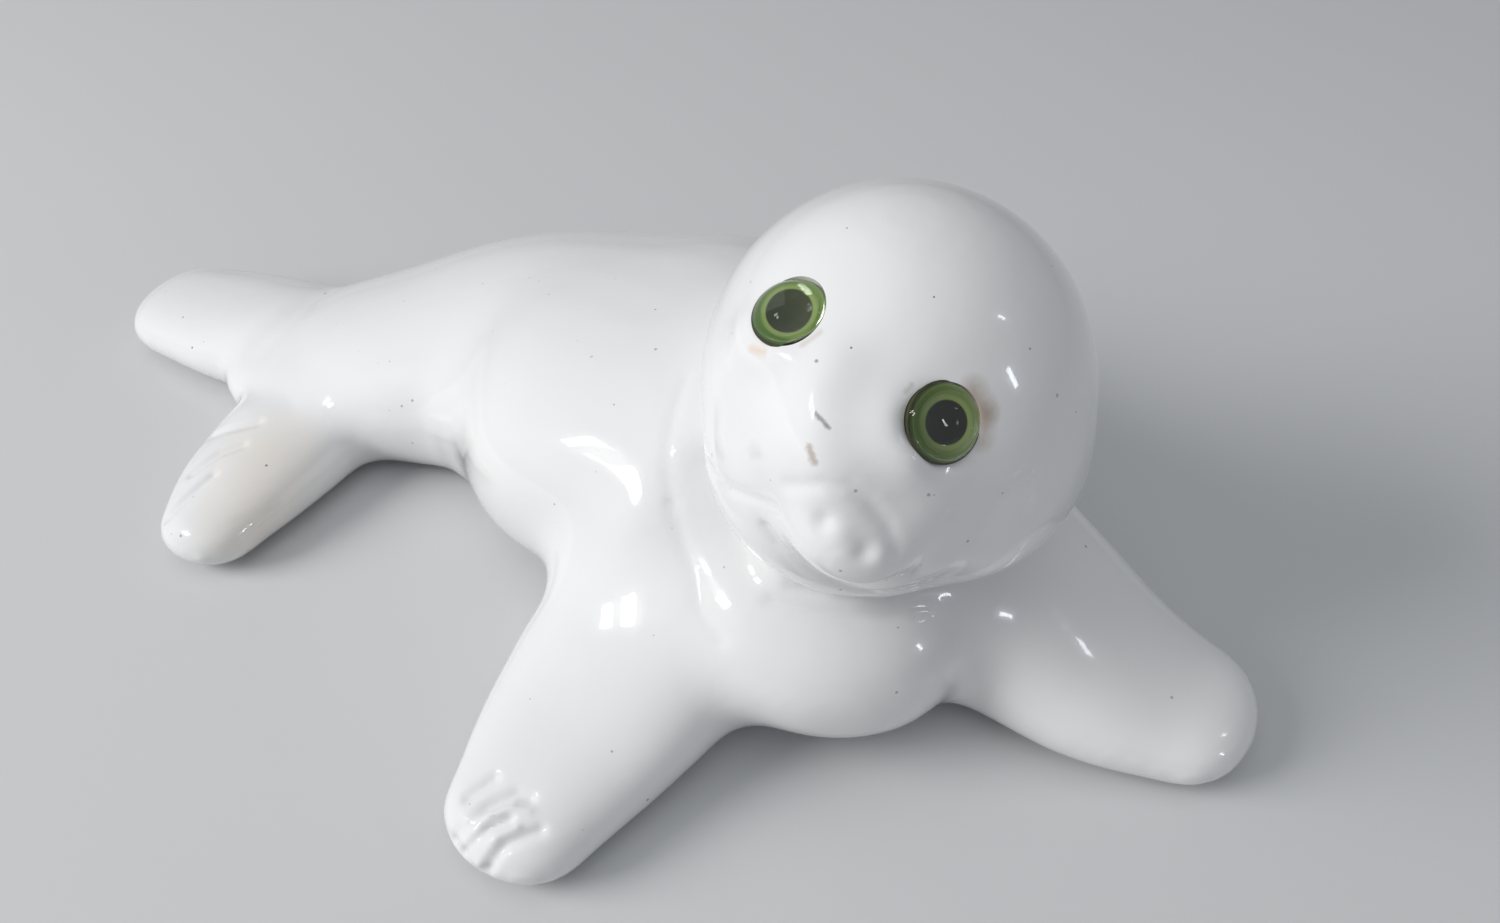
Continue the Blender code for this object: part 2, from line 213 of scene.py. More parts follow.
def neighbour_mean(thing):
    ends = np.empty(len(thing.data.edges) * 2, dtype=np.int64)
    thing.data.edges.foreach_get("vertices", ends)
    first, second = ends.reshape(-1, 2).T
    total = len(thing.data.vertices)
    degree = np.bincount(first, minlength=total) + np.bincount(second, minlength=total)

    def soften(values, rounds):
        for _ in range(rounds):
            mean = np.empty_like(values)
            for axis in range(3):
                value = values[:, axis]
                mean[:, axis] = np.bincount(first, value[second], total)
                mean[:, axis] += np.bincount(second, value[first], total)
            values = values / 2 + mean / degree[:, None] / 2
        return values

    return soften


soften = neighbour_mean(glazed_body)
before, _ = read_skin(glazed_body)
ROUNDS = 36
UNDERSIDE = 0.3 * MM
places = soften(before, ROUNDS)
places += soften(before - places, ROUNDS)
flat = before[:, 2] < UNDERSIDE
places[flat, 2] = before[flat, 2].clip(0, None)
places[:, 2] = places[:, 2].clip(0, None)
write_skin(glazed_body, places)
largest = np.linalg.norm(places - before, axis=1).max()
print("largest move", round(float(largest) / MM, 2), "mm")

# %% [markdown]
# ## A finer mesh where the details are
#
# Toes and the mouth need smaller faces than the calm back does. Only the faces near them are subdivided, so
# the whole body stays light.

# %% Subdivide near the toes and the muzzle
FINE_SPOTS = (
    (HEAD_CENTRE + direction(-20, -5) * 31 * MM, 17 * MM),
    (Vector((-9, -66, 9)) * MM, 12 * MM),
    (Vector((-71, 5, 9)) * MM, 14 * MM),
)
edit_faces(glazed_body, lambda face: any((face.center - spot).length < size for spot, size in FINE_SPOTS))
bpy.ops.mesh.subdivide(number_cuts=1, smoothness=0.5)
end_edit()
soften = neighbour_mean(glazed_body)
print("finer body has", count(glazed_body), "triangles")

# %% [markdown]
# ## Creases, folds, toes and nostrils
#
# In the wet clay the maker pressed the mouth, the folds and the grooves between the toes with a round tool,
# and glaze has since filled and softened them. Here each one is a chain of points on the skin, with a depth
# and a width in millimetres. Every vertex near the chain moves inwards, most in the middle and less further
# out, which gives the same soft groove. A negative depth raises a bump instead. Where the skin should be
# calmer than the remesh left it, the vertices are drawn towards the mean of their neighbours.

# %% Helpers to find, press and calm the skin
tree = BVHTree.FromObject(glazed_body, bpy.context.evaluated_depsgraph_get())


def on_head(azimuth, elevation):
    return tree.ray_cast(HEAD_CENTRE, direction(azimuth, elevation))[0]


def near_skin(x, y, z):
    return tree.find_nearest(Vector((x, y, z)) * MM)[0]


def on_body(x, y):
    above = Vector((x, y, 100)) * MM
    return tree.ray_cast(above, Vector((0, 0, -1)))[0] or near_skin(x, y, 7)


def nearness(places, points, width):
    nearest = np.full(len(places), np.inf)
    for start, end in zip(points, points[1:] or points):
        along = np.array(end - start)
        share = (places - np.array(start)) @ along / max(along @ along, 1e-12)
        foot = np.array(start) + np.clip(share, 0, 1)[:, None] * along
        nearest = np.minimum(nearest, np.linalg.norm(places - foot, axis=1))
    return np.exp(-((nearest / (width * MM)) ** 2))[:, None]


def press(places, outward, points, depth, width):
    places -= outward * nearness(places, points, width) * (depth * MM)


def calm(places, points, width, rounds):
    places += (soften(places, rounds) - places) * nearness(places, points, width)


print("the skin can be pressed and calmed")

# %% Lines of the face, by azimuth and elevation
FACE_LINES = (
    (((-66, -8.5), (-58.1, -7), (-48.4, -3.1), (-41.1, -0.5), (-34.8, 2.6)), 0.3, 0.9),
    (((-38.8, -8.4), (-35.3, -12.2), (-31.4, -14.4), (-26, -19.6), (-20.3, -24.4), (-14.6, -28.1),
      (-8.4, -30.3)), 0.4, 0.9),
    (((-31.1, 12.4), (-22.1, 17.4), (-16.7, 17.8), (-12.3, 14.9), (-7.3, 8.7), (-5, 2.5)), 0.3, 1.1),
    (((31.2, 11.8), (19.7, 7.6), (14.8, -1.9)), 0.2, 1.2),
    (((-41.4, -47), (-30.3, -48.7), (-19, -50.4), (-3.1, -53), (15.8, -55.7)), 0.35, 0.8),
    (((-21.1, 8.4),), 0.5, 1.3),
    (((-11.6, 3.5),), 0.5, 1.3),
    (((7.9, 8.4),), 0.3, 1.0),
    (((-17.2, 7.4),), -0.3, 1.6),
    (((-8.3, 2.1),), -0.3, 1.6),
    (((-62.6, 37.9),), -0.9, 4.0),
    (((-49, 38.5),), -0.9, 3.2),
    (((-8, 30),), -0.2, 3.2),
    (((-2, 25.5),), -0.5, 3.0),
    (((-6, -22), (3, -18), (9, -12)), -0.9, 3.5),
    (((-31, 42), (-31, 35), (-27, 27), (-22, 18)), -1.1, 4.5),
    (((-16, 36), (-10, 24), (-5, 17)), 0.7, 5.5),
)
print("lines on the face:", len(FACE_LINES))

# %% Toes, neck and shoulder folds, by x and y
BODY_LINES = (
    (((-75, 14.7), (-69.4, 15.2), (-65.9, 15.7)), 0.5, 0.9),
    (((-76, 5), (-71.4, 8.9), (-67.4, 10.2)), 0.5, 0.9),
    (((-78, -4), (-74, 0.5), (-71.2, 3.6)), 0.5, 0.9),
    (((-14.5, -60), (-10.8, -57.6)), 0.5, 0.9),
    (((-16.5, -65), (-11.1, -61.7), (-7.3, -60.2), (-5.2, -60.9)), 0.65, 0.9),
    (((-15, -67), (-10.7, -64.6), (-7.9, -63.7)), 0.65, 0.8),
    (((-11, -70), (-8, -67), (-5.7, -66.2), (-3.3, -65.3)), 0.65, 0.9),
    (((-14, -63.2), (-10.7, -62.8), (-7.6, -61.8)), -0.3, 0.7),
    (((-14, -66), (-10.5, -63.4), (-7.5, -62.3), (-5, -62.6)), -0.3, 0.7),
    (((-12.3, -68.6), (-9.2, -66), (-6.5, -65)), -0.3, 0.7),
    (((16.6, -6.6), (14.9, -12), (13.8, -17), (14, -20.9), (14.7, -24.7)), 0.25, 0.9),
    (((14.7, -24.7), (16.7, -30.2), (18.4, -34.1), (19.1, -38.2), (22.2, -42.7)), 0.25, 1.1),
)
BODY_SHIFT = (-0.1, -1.17)
print("lines on the body:", len(BODY_LINES))

# %% [markdown]
# The waist, where the hind part joins the belly, is filled a little and calmed, because slip gathers in such
# a corner. The skin under the chin, at the muzzle's side and on the neck is calmed too. The fold between
# chin and chest is given in x, y and z, and each of its points moves to the nearest skin, because a ray from
# above would meet the chin first.

# %% Fill, calm and press
WAIST = [Vector(point) * MM for point in ((-26, 2, 8), (-26, 2.5, 15), (-26.5, 4, 24))]
CHEST_FOLD = (
    (29.3, -40.7, 30.5), (36.2, -42.9, 30.6), (41.3, -43.6, 30.3), (46.2, -42.9, 29.9), (52.7, -40.7, 28.7),
)
CALM_PATCHES = (
    ([on_head(-8, -28), on_head(0, -27), on_head(6, -22), on_head(9, -15)], 4.5, 150),
    ([on_head(-5, -13), on_head(2, -9), on_head(7, -2)], 3.5, 120),
    (WAIST, 9.0, 400),
    ([on_body(16.5, -8), on_body(14.5, -15)], 3.5, 80),
    ([on_body(8, -17), on_body(5, -19)], 9.0, 150),
)
places, outward = read_skin(glazed_body)
press(places, outward, WAIST, -1.1, 6.5)
for points, width, rounds in CALM_PATCHES:
    calm(places, points, width, rounds)
press(places, outward, [near_skin(*point) for point in CHEST_FOLD], 0.4, 1.0)
for line, depth, width in FACE_LINES:
    press(places, outward, [on_head(*point) for point in line], depth, width)
for line, depth, width in BODY_LINES:
    points = [on_body(x + BODY_SHIFT[0], y + BODY_SHIFT[1]) for x, y in line]
    press(places, outward, points, depth, width)
places[:, 2] = places[:, 2].clip(0, None)
write_skin(glazed_body, places)
tree = BVHTree.FromObject(glazed_body, bpy.context.evaluated_depsgraph_get())
print("pressed", len(FACE_LINES) + len(BODY_LINES), "lines and dimples")

# %% [markdown]
# ## Sockets for the eyes
#
# Each eye sits in a round, flat-bottomed socket that was bored into the leather-hard clay. A cylinder that
# faces the way the eye looks is subtracted from the body. The Boolean modifier is the right tool, because it
# leaves a crisp rim, and the glue covers that rim as it does on the real one. An eye is set slightly deeper
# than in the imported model, so that no gap shows below its edge.

# %% Bore the sockets
EYE_RADIUS = 4.8
EYE_SINK = 0.3
SOCKET_DEPTH = 2.4
SOCKET_CLEARANCE = 0.04
CUTTER_REACH = 3
EYES = {}
for name, place, axis in (
    ("right_eye", (31.16, -33.21, 77.5), direction(-46, 66)),
    ("left_eye", (49.27, -47.29, 72.05), direction(28, 39)),
):
    EYES[name] = ((Vector(place) - axis * EYE_SINK) * MM, axis)


def turn_to(axis):
    return axis.to_track_quat("Z", "Y")


def bore_socket(seat, axis):
    bpy.ops.object.select_all(action="DESELECT")
    height = SOCKET_DEPTH + CUTTER_REACH
    middle = seat + axis * ((height / 2 - SOCKET_DEPTH) * MM)
    bpy.ops.mesh.primitive_cylinder_add(
        vertices=96, radius=(EYE_RADIUS + SOCKET_CLEARANCE) * MM, depth=height * MM, location=middle,
        rotation=turn_to(axis).to_euler())
    cutter = bpy.context.object
    cut = glazed_body.modifiers.new("socket", "BOOLEAN")
    cut.operation = "DIFFERENCE"
    cut.object = cutter
    apply_modifiers(glazed_body)
    bpy.data.objects.remove(cutter)


for seat, axis in EYES.values():
    bore_socket(seat, axis)
pick(glazed_body)
bpy.ops.object.shade_smooth_by_angle(angle=radians(38))
print("body with sockets has", count(glazed_body), "triangles")

# %% [markdown]
# ## The glass eyes
#
# The real eye is a clear glass dome with its green band and black pupil painted on the flat back. It is made
# as two pieces in the same way, so that the pupil lies deep under the dome from every side. The dome is the
# top cut off a ball. The painted back is a short disc whose ground edge is bevelled, with its middle pressed
# in a little. One eye is modelled and the second is a copy.

# %% Helpers to seat and copy a piece
DOME = 2.6
BACK = 2.2


def seat_piece(piece, name, seat, axis):
    piece.name = piece.data.name = name
    piece.data.transform(Matrix.Translation(seat) @ turn_to(axis).to_matrix().to_4x4())
    return piece


def copy_of(thing):
    twin = thing.copy()
    twin.data = thing.data.copy()
    bpy.context.scene.collection.objects.link(twin)
    return twin


# %% The clear dome
ball_radius = (EYE_RADIUS**2 + DOME**2) / (2 * DOME)
bpy.ops.object.select_all(action="DESELECT")
bpy.ops.mesh.primitive_uv_sphere_add(
    segments=96, ring_count=96, radius=ball_radius * MM, location=(0, 0, (DOME - ball_radius) * MM))
dome = bpy.context.object
bpy.ops.object.transform_apply(location=True, rotation=True, scale=True)
start_edit(dome, "VERT")
bpy.ops.mesh.bisect(plane_co=(0, 0, 0), plane_no=(0, 0, 1), clear_inner=True, use_fill=True)
bpy.ops.mesh.select_all(action="SELECT")
bpy.ops.mesh.normals_make_consistent(inside=False)
end_edit()
bpy.ops.object.shade_smooth_by_angle(angle=radians(40))
print("the dome has", count(dome), "triangles")

# %% The painted back
GAP_UNDER_DOME = 0.02
RIM_WIDTH = 0.5
BAND_WIDTH = 1.4
PUPIL_DIP = 0.15
bpy.ops.object.select_all(action="DESELECT")
bpy.ops.mesh.primitive_cylinder_add(
    vertices=96, radius=EYE_RADIUS * MM, depth=BACK * MM,
    location=(0, 0, -(BACK / 2 + GAP_UNDER_DOME) * MM))
painted_back = bpy.context.object
bpy.ops.object.transform_apply(location=True, rotation=True, scale=True)
edit_faces(painted_back, lambda face: face.normal.z > 0.9)
bpy.ops.mesh.inset(thickness=RIM_WIDTH * MM)
bpy.ops.mesh.inset(thickness=BAND_WIDTH * MM)
bpy.ops.transform.translate(value=(0, 0, -PUPIL_DIP * MM))
end_edit()
edge = painted_back.modifiers.new("ground edge", "BEVEL")
edge.width = 0.12 * MM
edge.segments = 2
edge.limit_method = "ANGLE"
edge.angle_limit = radians(50)
apply_modifiers(painted_back)
bpy.ops.object.shade_smooth_by_angle(angle=radians(40))
print("the painted back has", count(painted_back), "triangles")

# %% Seat both eyes
left_dome = seat_piece(copy_of(dome), "left_eye_glass", *EYES["left_eye"])
right_dome = seat_piece(dome, "right_eye_glass", *EYES["right_eye"])
left_back = seat_piece(copy_of(painted_back), "left_eye_paint", *EYES["left_eye"])
right_back = seat_piece(painted_back, "right_eye_paint", *EYES["right_eye"])
print("eyes:", [thing.name for thing in (right_dome, right_back, left_dome, left_back)])

# %% [markdown]
# ## The glue round each eye
#
# A thin bead of glue fills the gap round each eye. Its dark colour is partly the glue's own and partly painted
# shade of the narrow gap. A torus is the natural start. It is made a little taller than wide and sunk below
# the edge of the glass, so that it closes the gap and hardly shows.

# %% Glue beads
BEAD_RADIUS = 0.2
BEAD_STRETCH = 1.2
BEAD_SINK = 0.25


def glue_bead(name, seat, axis):
    bpy.ops.object.select_all(action="DESELECT")
    bpy.ops.mesh.primitive_torus_add(
        major_segments=96, minor_segments=12, major_radius=EYE_RADIUS * MM, minor_radius=BEAD_RADIUS * MM)
    bead = bpy.context.object
    start_edit(bead, "VERT")
    bpy.ops.transform.resize(value=(1, 1, BEAD_STRETCH), center_override=(0, 0, 0))
    bpy.ops.transform.translate(value=(0, 0, -BEAD_SINK * MM))
    end_edit()
    bpy.ops.object.shade_smooth()
    return seat_piece(bead, name, seat, axis)


right_glue = glue_bead("right_eye_glue", *EYES["right_eye"])
left_glue = glue_bead("left_eye_glue", *EYES["left_eye"])
print("glue beads:", right_glue.name, left_glue.name)

# %% [markdown]
# ## A mark that can be used again
#
# Scratches, stains and dots all need the same thing: how near a point of the skin is to a short line. This
# node group works that out from Object coordinates, roughens the outline with noise and gives a mask from 0
# to 1. A painted image could do it too, but a group is exact at any size and can be used many times.

# %% Node group for marks
def new_group(name, inputs, outputs):
    group = bpy.data.node_groups.new(name, "ShaderNodeTree")
    for label, kind in inputs:
        group.interface.new_socket(label, in_out="INPUT", socket_type=kind)
    for label, kind in outputs:
        group.interface.new_socket(label, in_out="OUTPUT", socket_type=kind)
    return group, group.nodes.new("NodeGroupInput"), group.nodes.new("NodeGroupOutput")


def math_node(tree_of, operation, a, b=None, c=None, clamp=False):
    node = tree_of.nodes.new("ShaderNodeMath")
    node.operation = operation
    node.use_clamp = clamp
    for socket, value in zip(node.inputs, (a, b, c)):
        if value is None:
            continue
        if isinstance(value, (int, float)):
            socket.default_value = value
        else:
            tree_of.links.new(value, socket)
    return node.outputs[0]


def vector_node(tree_of, operation, a, b=None, scale=None):
    node = tree_of.nodes.new("ShaderNodeVectorMath")
    node.operation = operation
    for socket, value in zip(node.inputs, (a, b)):
        if value is None:
            continue
        if isinstance(value, tuple):
            socket.default_value = value
        else:
            tree_of.links.new(value, socket)
    if scale is not None:
        tree_of.links.new(scale, node.inputs["Scale"])
    gives_number = operation in ("DOT_PRODUCT", "LENGTH", "DISTANCE")
    return node.outputs["Value" if gives_number else "Vector"]


def noise_node(tree_of, where, scale, detail):
    node = tree_of.nodes.new("ShaderNodeTexNoise")
    node.inputs["Scale"].default_value = scale
    node.inputs["Detail"].default_value = detail
    tree_of.links.new(where, node.inputs["Vector"])
    return node.outputs["Fac"]


mark_group, mark_in, mark_out = new_group(
    "mark",
    (("Place", "NodeSocketVector"), ("Start", "NodeSocketVector"), ("End", "NodeSocketVector"),
     ("Width", "NodeSocketFloat"), ("Softness", "NodeSocketFloat"), ("Ragged", "NodeSocketFloat")),
    (("Mask", "NodeSocketFloat"),))
away = vector_node(mark_group, "SUBTRACT", mark_in.outputs["Place"], mark_in.outputs["Start"])
span = vector_node(mark_group, "SUBTRACT", mark_in.outputs["End"], mark_in.outputs["Start"])
reach = math_node(mark_group, "MAXIMUM", vector_node(mark_group, "DOT_PRODUCT", span, span), 1e-9)
along = vector_node(mark_group, "DOT_PRODUCT", away, span)
share = math_node(mark_group, "DIVIDE", along, reach, clamp=True)
foot = vector_node(mark_group, "SCALE", span, scale=share)
gap = vector_node(mark_group, "DISTANCE", away, foot)
grain = noise_node(mark_group, mark_in.outputs["Place"], 1400.0, 3.0)
wobble = math_node(mark_group, "SUBTRACT", grain, 0.5)
ragged = math_node(mark_group, "MULTIPLY", wobble, mark_in.outputs["Ragged"])
outline = math_node(mark_group, "ADD", gap, ragged)
inside = math_node(mark_group, "SUBTRACT", mark_in.outputs["Width"], outline)
fade = math_node(mark_group, "DIVIDE", inside, mark_in.outputs["Softness"], clamp=True)
mark_group.links.new(fade, mark_out.inputs["Mask"])
print("mark group has", len(mark_group.nodes), "nodes")

# %% [markdown]
# ## White glaze
#
# The glaze is a thick layer of white glass over pale clay. A coat over the base gives its clear wet shine,
# and a very faint noise in the bump gives the slight unevenness that bends the lamps' reflections. Tiny dark
# specks are burnt dust in the glaze. The underside, where the pup stood in the kiln, is wiped bare.

# %% Node group for specks and unevenness
speck_group, speck_in, speck_out = new_group(
    "glaze_specks", (("Place", "NodeSocketVector"),),
    (("Specks", "NodeSocketFloat"), ("Unevenness", "NodeSocketFloat"), ("Tone", "NodeSocketFloat")))


def dust(scale, size, share_kept):
    cells = speck_group.nodes.new("ShaderNodeTexVoronoi")
    cells.inputs["Scale"].default_value = scale
    speck_group.links.new(speck_in.outputs["Place"], cells.inputs["Vector"])
    near = math_node(speck_group, "LESS_THAN", cells.outputs["Distance"], size)
    tint = speck_group.nodes.new("ShaderNodeSeparateColor")
    speck_group.links.new(cells.outputs["Color"], tint.inputs[0])
    kept = math_node(speck_group, "LESS_THAN", tint.outputs[0], share_kept)
    faint = math_node(speck_group, "MULTIPLY_ADD", tint.outputs[1], 0.6, 0.25)
    return math_node(speck_group, "MULTIPLY", math_node(speck_group, "MULTIPLY", near, kept), faint)


specks = math_node(speck_group, "MAXIMUM", dust(190.0, 0.05, 0.30), dust(420.0, 0.06, 0.18))
large = noise_node(speck_group, speck_in.outputs["Place"], 110.0, 1.0)
small = noise_node(speck_group, speck_in.outputs["Place"], 420.0, 1.0)
uneven = math_node(speck_group, "MULTIPLY_ADD", small, 0.25, large)
tone = noise_node(speck_group, speck_in.outputs["Place"], 22.0, 2.0)
speck_group.links.new(specks, speck_out.inputs["Specks"])
speck_group.links.new(uneven, speck_out.inputs["Unevenness"])
speck_group.links.new(tone, speck_out.inputs["Tone"])
print("speck group has", len(speck_group.nodes), "nodes")


# %% Start a material
def new_material(name):
    made = bpy.data.materials.new(name)
    made.use_nodes = True
    shader = made.node_tree.nodes["Principled BSDF"]
    coordinates = made.node_tree.nodes.new("ShaderNodeTexCoord")
    return made, made.node_tree, shader, coordinates.outputs["Object"]


def use_group(tree_of, group, **links):
    node = tree_of.nodes.new("ShaderNodeGroup")
    node.node_tree = group
    for label, value in links.items():
        if isinstance(value, (float, Vector)):
            node.inputs[label].default_value = value
        else:
            tree_of.links.new(value, node.inputs[label])
    return node


def mix_colour(tree_of, share_of, under, over):
    node = tree_of.nodes.new("ShaderNodeMix")
    node.data_type = "RGBA"
    tree_of.links.new(share_of, node.inputs["Factor"])
    for socket, value in ((node.inputs[6], under), (node.inputs[7], over)):
        if isinstance(value, tuple):
            socket.default_value = (*value, 1.0)
        else:
            tree_of.links.new(value, socket)
    return node.outputs[2]


def bump(tree_of, shader, height, distance):
    node = tree_of.nodes.new("ShaderNodeBump")
    node.inputs["Distance"].default_value = distance
    node.inputs["Strength"].default_value = 1.0
    tree_of.links.new(height, node.inputs["Height"])
    tree_of.links.new(node.outputs[0], shader.inputs["Normal"])


white_glaze, glaze_tree, glaze, here = new_material("white_glaze")
glaze.inputs["IOR"].default_value = 1.5
glaze.inputs["Coat Roughness"].default_value = 0.03
glaze.inputs["Coat IOR"].default_value = 1.5
print("started", white_glaze.name)

# %% [markdown]
# ## Stains, scratches and bare clay on the glaze
#
# Each mark is one use of the mark group, with its place on the skin found in the same way as the creases.
# Brown glue has crept out beside the eyes, a dark scratch and a brown rub sit on the bridge of the muzzle, a
# few pinholes are dark, and the right hind flipper has a warm, thin patch where the clay shows through.

# %% Colour of the glaze
specked = use_group(glaze_tree, speck_group, Place=here)
colour = mix_colour(glaze_tree, specked.outputs["Tone"], (0.80, 0.805, 0.815), (0.845, 0.845, 0.85))


def add_mark(under, start, end, width, softness, tint, strength, rough=0.0):
    node = use_group(glaze_tree, mark_group, Place=here, Start=Vector(start), End=Vector(end),
                     Width=width * MM, Softness=softness * MM, Ragged=rough * MM)
    mask = math_node(glaze_tree, "MULTIPLY", node.outputs[0], strength)
    return mix_colour(glaze_tree, mask, under, tint)


BROWN = (0.28, 0.17, 0.09)
DARK = (0.05, 0.04, 0.035)
WARM = (0.74, 0.62, 0.47)
ORANGE = (0.72, 0.50, 0.30)
STAIN = (0.38, 0.28, 0.19)
PINHOLE = (0.33, 0.25, DARK, 0.6, 0.3)
HEAD_MARKS = (
    ((15.5, 38.8), (18.6, 32.5), 2.3, 2.6, STAIN, 0.75, 0.5),
    ((18.6, 32.5), (16.8, 26), 1.9, 2.2, STAIN, 0.6, 0.5),
    ((-5.9, 39.4), (-4.2, 41.1), 0.5, 0.6, BROWN, 0.35, 0.4),
    ((-57.5, 35.6), (-53, 36.8), 0.9, 1.1, ORANGE, 0.55, 0.5),
    ((-42.5, 43.5), (-39.5, 48), 0.7, 1.0, BROWN, 0.35, 0.4),
    ((-28.2, 31.2), (-24.0, 29.3), 0.42, 0.4, DARK, 0.6, 0.7),
    ((-27.2, 24.0), (-25.2, 21.5), 0.7, 0.5, BROWN, 0.5, 0.9),
)
HEAD_PINHOLES = ((-15.2, 16.9), (1.3, 15.9), (-15.9, -1.6), (-18.3, -29.4), (-56.8, -46.1), (-34.7, 41.6))
BODY_PINHOLES = ((11.2, -0.4), (-37.6, 13.2), (-92.4, 49), (-74, -1.4), (-74.1, -9.4))
colour = add_mark(colour, Vector((-62, 8, 10)) * MM, Vector((-63, -6, 7)) * MM, 12, 14, WARM, 0.5)
for start, end, *look in HEAD_MARKS:
    colour = add_mark(colour, on_head(*start), on_head(*end), *look)
for point in [on_head(*spot) for spot in HEAD_PINHOLES] + [on_body(*spot) for spot in BODY_PINHOLES]:
    colour = add_mark(colour, point, point, *PINHOLE)
colour = mix_colour(glaze_tree, specked.outputs["Specks"], colour, (0.12, 0.09, 0.07))

# %% The bare underside, the shine and the unevenness
BARE_BELOW = 0.00025
GLAZE_ROUGHNESS = 0.16
BARE_EXTRA_ROUGHNESS = 0.6
UNEVEN_DEPTH = 0.00012
height_of = glaze_tree.nodes.new("ShaderNodeSeparateXYZ")
glaze_tree.links.new(here, height_of.inputs[0])
bare = math_node(glaze_tree, "LESS_THAN", height_of.outputs["Z"], BARE_BELOW)
colour = mix_colour(glaze_tree, bare, colour, (0.66, 0.61, 0.54))
glaze_tree.links.new(colour, glaze.inputs["Base Color"])
coated = math_node(glaze_tree, "SUBTRACT", 1.0, bare)
roughness = math_node(glaze_tree, "MULTIPLY_ADD", bare, BARE_EXTRA_ROUGHNESS, GLAZE_ROUGHNESS)
glaze_tree.links.new(coated, glaze.inputs["Coat Weight"])
glaze_tree.links.new(roughness, glaze.inputs["Roughness"])
bump(glaze_tree, glaze, specked.outputs["Unevenness"], UNEVEN_DEPTH)
print("glaze has", len(glaze_tree.nodes), "nodes")

# %% [markdown]
# ## Glass and paint of the eyes
#
# The dome is clear glass with a breath of green. Light passes through it to the paint as if it weren't
# there, which keeps the paint bright without slow caustics. The paint is coloured by its distance from the
# eye's own axis: a dark pupil, a thin lighter line, the green band and a dark olive rim. The band, the line
# and the pupil are also darker on one side and lighter on the other, as painted shade and painted light:
# towards the top on the right eye, towards one side on the left eye, whose pupil also holds a painted
# reflection there.

# %% Node group for the bands of an eye
band_group, band_in, band_out = new_group(
    "eye_bands", (("Place", "NodeSocketVector"), ("Pupil radius", "NodeSocketFloat")),
    (("Pupil", "NodeSocketFloat"), ("Line", "NodeSocketFloat"), ("Rim", "NodeSocketFloat"),
     ("Side", "NodeSocketFloat"), ("Up", "NodeSocketFloat")))
flat_place = vector_node(band_group, "MULTIPLY", band_in.outputs["Place"], (1, 1, 0))
from_middle = vector_node(band_group, "LENGTH", flat_place)
from_pupil = math_node(band_group, "SUBTRACT", from_middle, band_in.outputs["Pupil radius"])


def ramp(value, start, end):
    node = band_group.nodes.new("ShaderNodeMapRange")
    node.interpolation_type = "SMOOTHSTEP"
    band_group.links.new(value, node.inputs["Value"])
    node.inputs["From Min"].default_value = start
    node.inputs["From Max"].default_value = end
    return node.outputs[0]


PUPIL_EDGE = (0.1, -0.1)
LINE_EDGE = (0.85, 0.25)
RIM_EDGE = (4.1, 4.7)
SIDE_TO_SIDE = (-4.5, 4.5)
pupil = ramp(from_pupil, *PUPIL_EDGE)
line_out = ramp(from_pupil, *LINE_EDGE)
rim = ramp(from_middle, *RIM_EDGE)
sides = band_group.nodes.new("ShaderNodeSeparateXYZ")
band_group.links.new(flat_place, sides.inputs[0])
band_group.links.new(pupil, band_out.inputs["Pupil"])
band_group.links.new(line_out, band_out.inputs["Line"])
band_group.links.new(rim, band_out.inputs["Rim"])
# Side and Up run across the eye and set which way the paint is made lighter, as painted light.
band_group.links.new(ramp(sides.outputs["X"], *SIDE_TO_SIDE), band_out.inputs["Side"])
band_group.links.new(ramp(sides.outputs["Y"], *SIDE_TO_SIDE), band_out.inputs["Up"])
print("band group has", len(band_group.nodes), "nodes")


# %% Paint and glass materials
def eye_paint(name, seat, axis, pupil_radius, bands, pupil_shade_to_light):
    made, tree_of, shader, place = new_material(name)
    local = tree_of.nodes.new("ShaderNodeMapping")
    local.vector_type = "TEXTURE"
    local.inputs["Location"].default_value = seat
    local.inputs["Rotation"].default_value = turn_to(axis).to_euler()
    local.inputs["Scale"].default_value = (MM, MM, MM)
    tree_of.links.new(place, local.inputs["Vector"])
    band = use_group(tree_of, band_group, Place=local.outputs[0])
    band.inputs["Pupil radius"].default_value = pupil_radius
    # The band, its line and the pupil go from painted shade to painted light across the eye; depth is the
    # pupil's colour with that painted light.
    lit, side = bands["side"]
    green = mix_colour(tree_of, band.outputs[side], bands["dark"], lit)
    line_shade_to_light = mix_colour(tree_of, band.outputs[side], bands["line"], bands["lit line"])
    green = mix_colour(tree_of, band.outputs["Line"], green, line_shade_to_light)
    green = mix_colour(tree_of, band.outputs["Rim"], green, bands["rim"])
    depth = mix_colour(tree_of, band.outputs[side], *pupil_shade_to_light)
    final = mix_colour(tree_of, band.outputs["Pupil"], green, depth)
    tree_of.links.new(final, shader.inputs["Base Color"])
    shader.inputs["Roughness"].default_value = 0.5
    shader.inputs["Specular IOR Level"].default_value = 0.1
    return made


